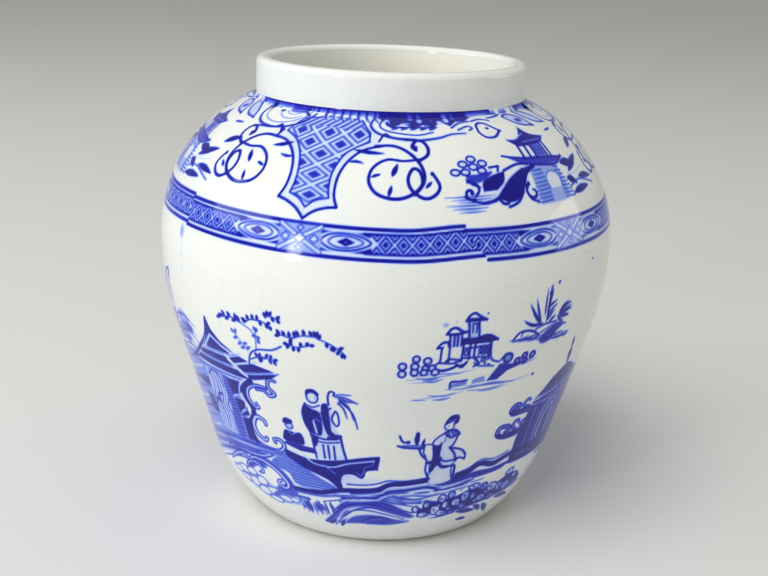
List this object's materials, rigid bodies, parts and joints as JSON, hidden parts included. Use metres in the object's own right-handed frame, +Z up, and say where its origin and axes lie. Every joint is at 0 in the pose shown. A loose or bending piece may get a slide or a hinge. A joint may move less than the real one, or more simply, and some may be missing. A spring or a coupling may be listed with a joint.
{
  "type": "ginger jar",
  "caption": "Round-shouldered earthenware jar with a short straight neck and a recessed foot, glazed and printed in blue; open, without its lid, for keeping dry goods or as a vase.",
  "frame": {"origin": "centre of the foot, on the surface that the jar stands on", "axes": "+Z up along the jar's axis; -Y is the side of the print that the viewer sees; +X to that viewer's right"},
  "size_m": [0.149, 0.149, 0.15],
  "materials": {
    "bare_clay": "fired biscuit, bare on the foot ring only",
    "clear_glaze": "glossy glaze over white earthenware, slightly blue where it pools",
    "inside_glaze": "glossy glaze, warmer and less even inside",
    "shoulder_transfer": "cobalt blue transfer print under glossy glaze",
    "border_transfer": "cobalt blue transfer print under glossy glaze",
    "scene_transfer": "cobalt blue transfer print under glossy glaze"
  },
  "bodies": {
    "root": {"jar_body": "bare_clay", "neck_glaze": "clear_glaze", "inside_glaze": "inside_glaze", "foot_glaze": "clear_glaze", "base_glaze": "clear_glaze", "shoulder_print_1": "shoulder_transfer", "shoulder_print_2": "shoulder_transfer", "shoulder_print_3": "shoulder_transfer", "border_print_1": "border_transfer", "border_print_2": "border_transfer", "border_print_3": "border_transfer", "border_print_4": "border_transfer", "border_print_5": "border_transfer", "scene_print_1": "scene_transfer", "scene_print_2": "scene_transfer"}
  },
  "joints": []
}
